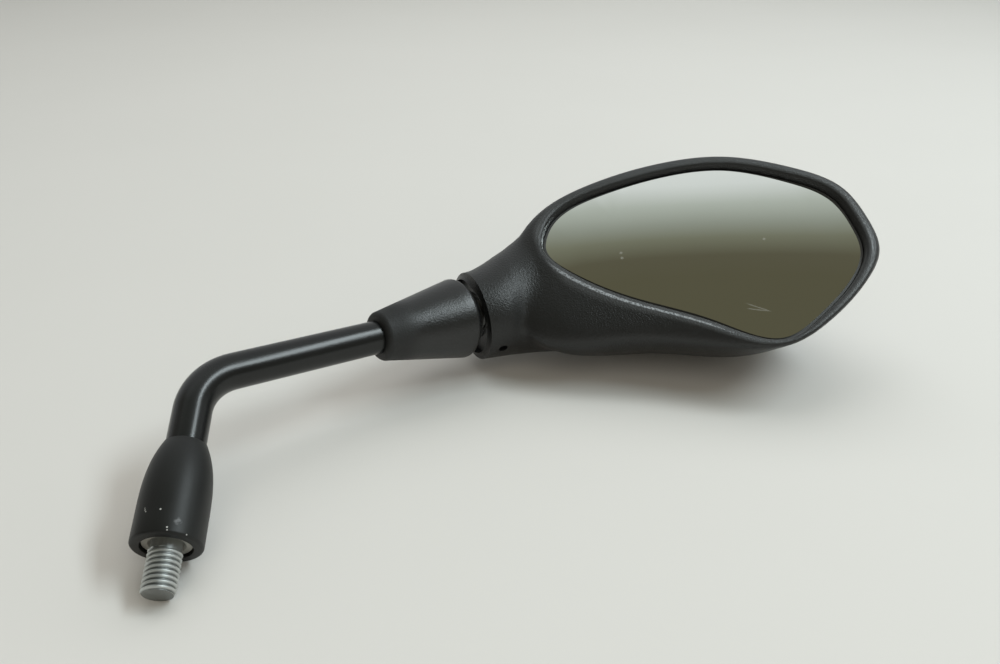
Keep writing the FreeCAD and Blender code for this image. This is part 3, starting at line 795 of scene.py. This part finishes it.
# %% [markdown]
# ## Zinc plating and the nut's face
# Plated steel is dull silver, darker down in the thread's roots. The nut's seating face was
# turned on a lathe, which leaves fine rings: a wave over the distance from the stud's axis.

# %% Metal finishes
def ring_distance(place):
    flat = place.node("VectorMath", {"operation": "MULTIPLY"}, {0: place, 1: (1.0, 1.0, 0.0)})
    return place.node("VectorMath", {"operation": "LENGTH"}, {0: flat}, out="Value")


zinc, shader, place = new_finish("stud_zinc", Metallic=1.0)
worn = noise(place, 500.0, 4.0)
# darker towards the thread's roots
deep = step(ring_distance(place), (ROOT + 0.55) * MM, ROOT * MM)
colour = blend_colour(worn, rgb(0.54, 0.56, 0.55), rgb(0.70, 0.72, 0.71))
colour = blend_colour(deep * 0.75, colour, rgb(0.16, 0.165, 0.16))
drive(shader, Base_Color=colour, Roughness=0.42 + 0.20 * worn, Normal=bump(worn, 0.03 * MM, 0.3))
thread.data.materials.append(zinc)

nut_zinc, shader, place = new_finish("nut_zinc", Metallic=0.65)
worn = noise(place, 380.0, 4.0)
rings = place.node("Math", {"operation": "SINE"}, {0: ring_distance(place) * (math.tau / (0.42 * MM))})
colour = blend_colour(worn, rgb(0.34, 0.33, 0.30), rgb(0.50, 0.49, 0.455))
drive(shader, Base_Color=colour, Roughness=0.42 + 0.16 * worn, Normal=bump(rings, 0.03 * MM, 0.5))
nut.data.materials.append(nut_zinc)
print("zinc on stud and nut")

# %% [markdown]
# ## Mirror glass
# The mirror is a convex glass with a bright metal layer. A plain chrome shader is too clean: the real one
# has two short scratches, some dust and a faint haze, which scatter a little light. Their masks raise the
# roughness and take the metal back.

# %% Glass finish
def scratch(place, start, end, width):
    first = Vector(start) * MM
    run = Vector(end) * MM - first
    heading = run.normalized()
    travelled = along(place, heading) - first.dot(heading)
    aside = (away(place, first) ** 2.0 - travelled ** 2.0) ** 0.5
    inside = step(travelled, 0.0, run.length * 0.3) * step(travelled, run.length, run.length * 0.7)
    return inside * step(aside, width * MM, width * 0.4 * MM)


mirror, shader, place = new_finish("mirror_silver", Specular_IOR_Level=0.5)
dust = fleck(place, (141.78, -35.41, 127.34), 0.8) + fleck(place, (142.0, -35.27, 124.97), 0.8)
dust = dust + fleck(place, (190.47, -60.71, 129.29), 0.7)
haze = noise(place, 30.0, 4.0)
lines = scratch(place, (180.4, -52.45, 101.4), (190.0, -56.5, 96.4), 0.34)
lines = lines + scratch(place, (180.6, -52.25, 98.9), (189.2, -56.1, 96.9), 0.34)
dirt = step(dust, 0.0, 1.0) * 0.14 + step(lines, 0.0, 1.0) * 0.12
colour = blend_colour(haze, rgb(0.80, 0.81, 0.79), rgb(0.84, 0.85, 0.83))
colour = blend_colour(dirt, colour, rgb(0.5, 0.5, 0.47))
drive(shader, Base_Color=colour, Metallic=1.0 - dirt, Roughness=0.015 + 0.02 * haze + 0.4 * dirt)
glass.data.materials.append(mirror)
print("silver on the glass")

# %% [markdown]
# ## Pieces inside the head
# The seal, the ball and the pieces of its socket are seen only from behind or with the head turned. Each
# gets a simple finish with some life in it. The seal's grey is lighter than its rubber, as a painted
# highlight round the glass.

# %% Inner finishes
def simple_finish(name, dark, light, dull, metal, scale):
    material, shader, place = new_finish(name, Metallic=metal)
    mottle = noise(place, scale, 4.0)
    colour = blend_colour(mottle, rgb(*dark), rgb(*light))
    drive(shader, Base_Color=colour, Roughness=dull + 0.12 * mottle, Normal=bump(mottle, 0.02 * MM, 0.3))
    return material


steel = simple_finish(
    "joint_steel", dark=(0.13, 0.13, 0.125), light=(0.20, 0.20, 0.195),
    dull=0.32, metal=1.0, scale=500.0,
)
acetal = simple_finish(
    "seat_acetal", dark=(0.016, 0.017, 0.018), light=(0.026, 0.027, 0.028),
    dull=0.38, metal=0.0, scale=220.0,
)
backing = simple_finish(
    "carrier_plastic", dark=(0.020, 0.021, 0.022), light=(0.030, 0.031, 0.032),
    dull=0.55, metal=0.0, scale=300.0,
)
# grey rubber for the seal, made lighter as a painted highlight round the edge of the glass
seal_finish_and_highlight = simple_finish(
    "seal_rubber", dark=(0.034, 0.036, 0.036), light=(0.052, 0.054, 0.054),
    dull=0.42, metal=0.0, scale=700.0,
)
seal.data.materials.append(seal_finish_and_highlight)


def dress(node, material):
    mesh = nodes[node].data
    mesh.materials.clear()
    mesh.materials.append(material)


for node in ("ball_stud", "pressure_cup", "pressure_spring", "spring_plate", "retaining_ring"):
    dress(node, steel)
for node in ("front_seat_ring", "rear_seat_cup"):
    dress(node, acetal)
dress("glass_carrier", backing)
print("inner pieces dressed")
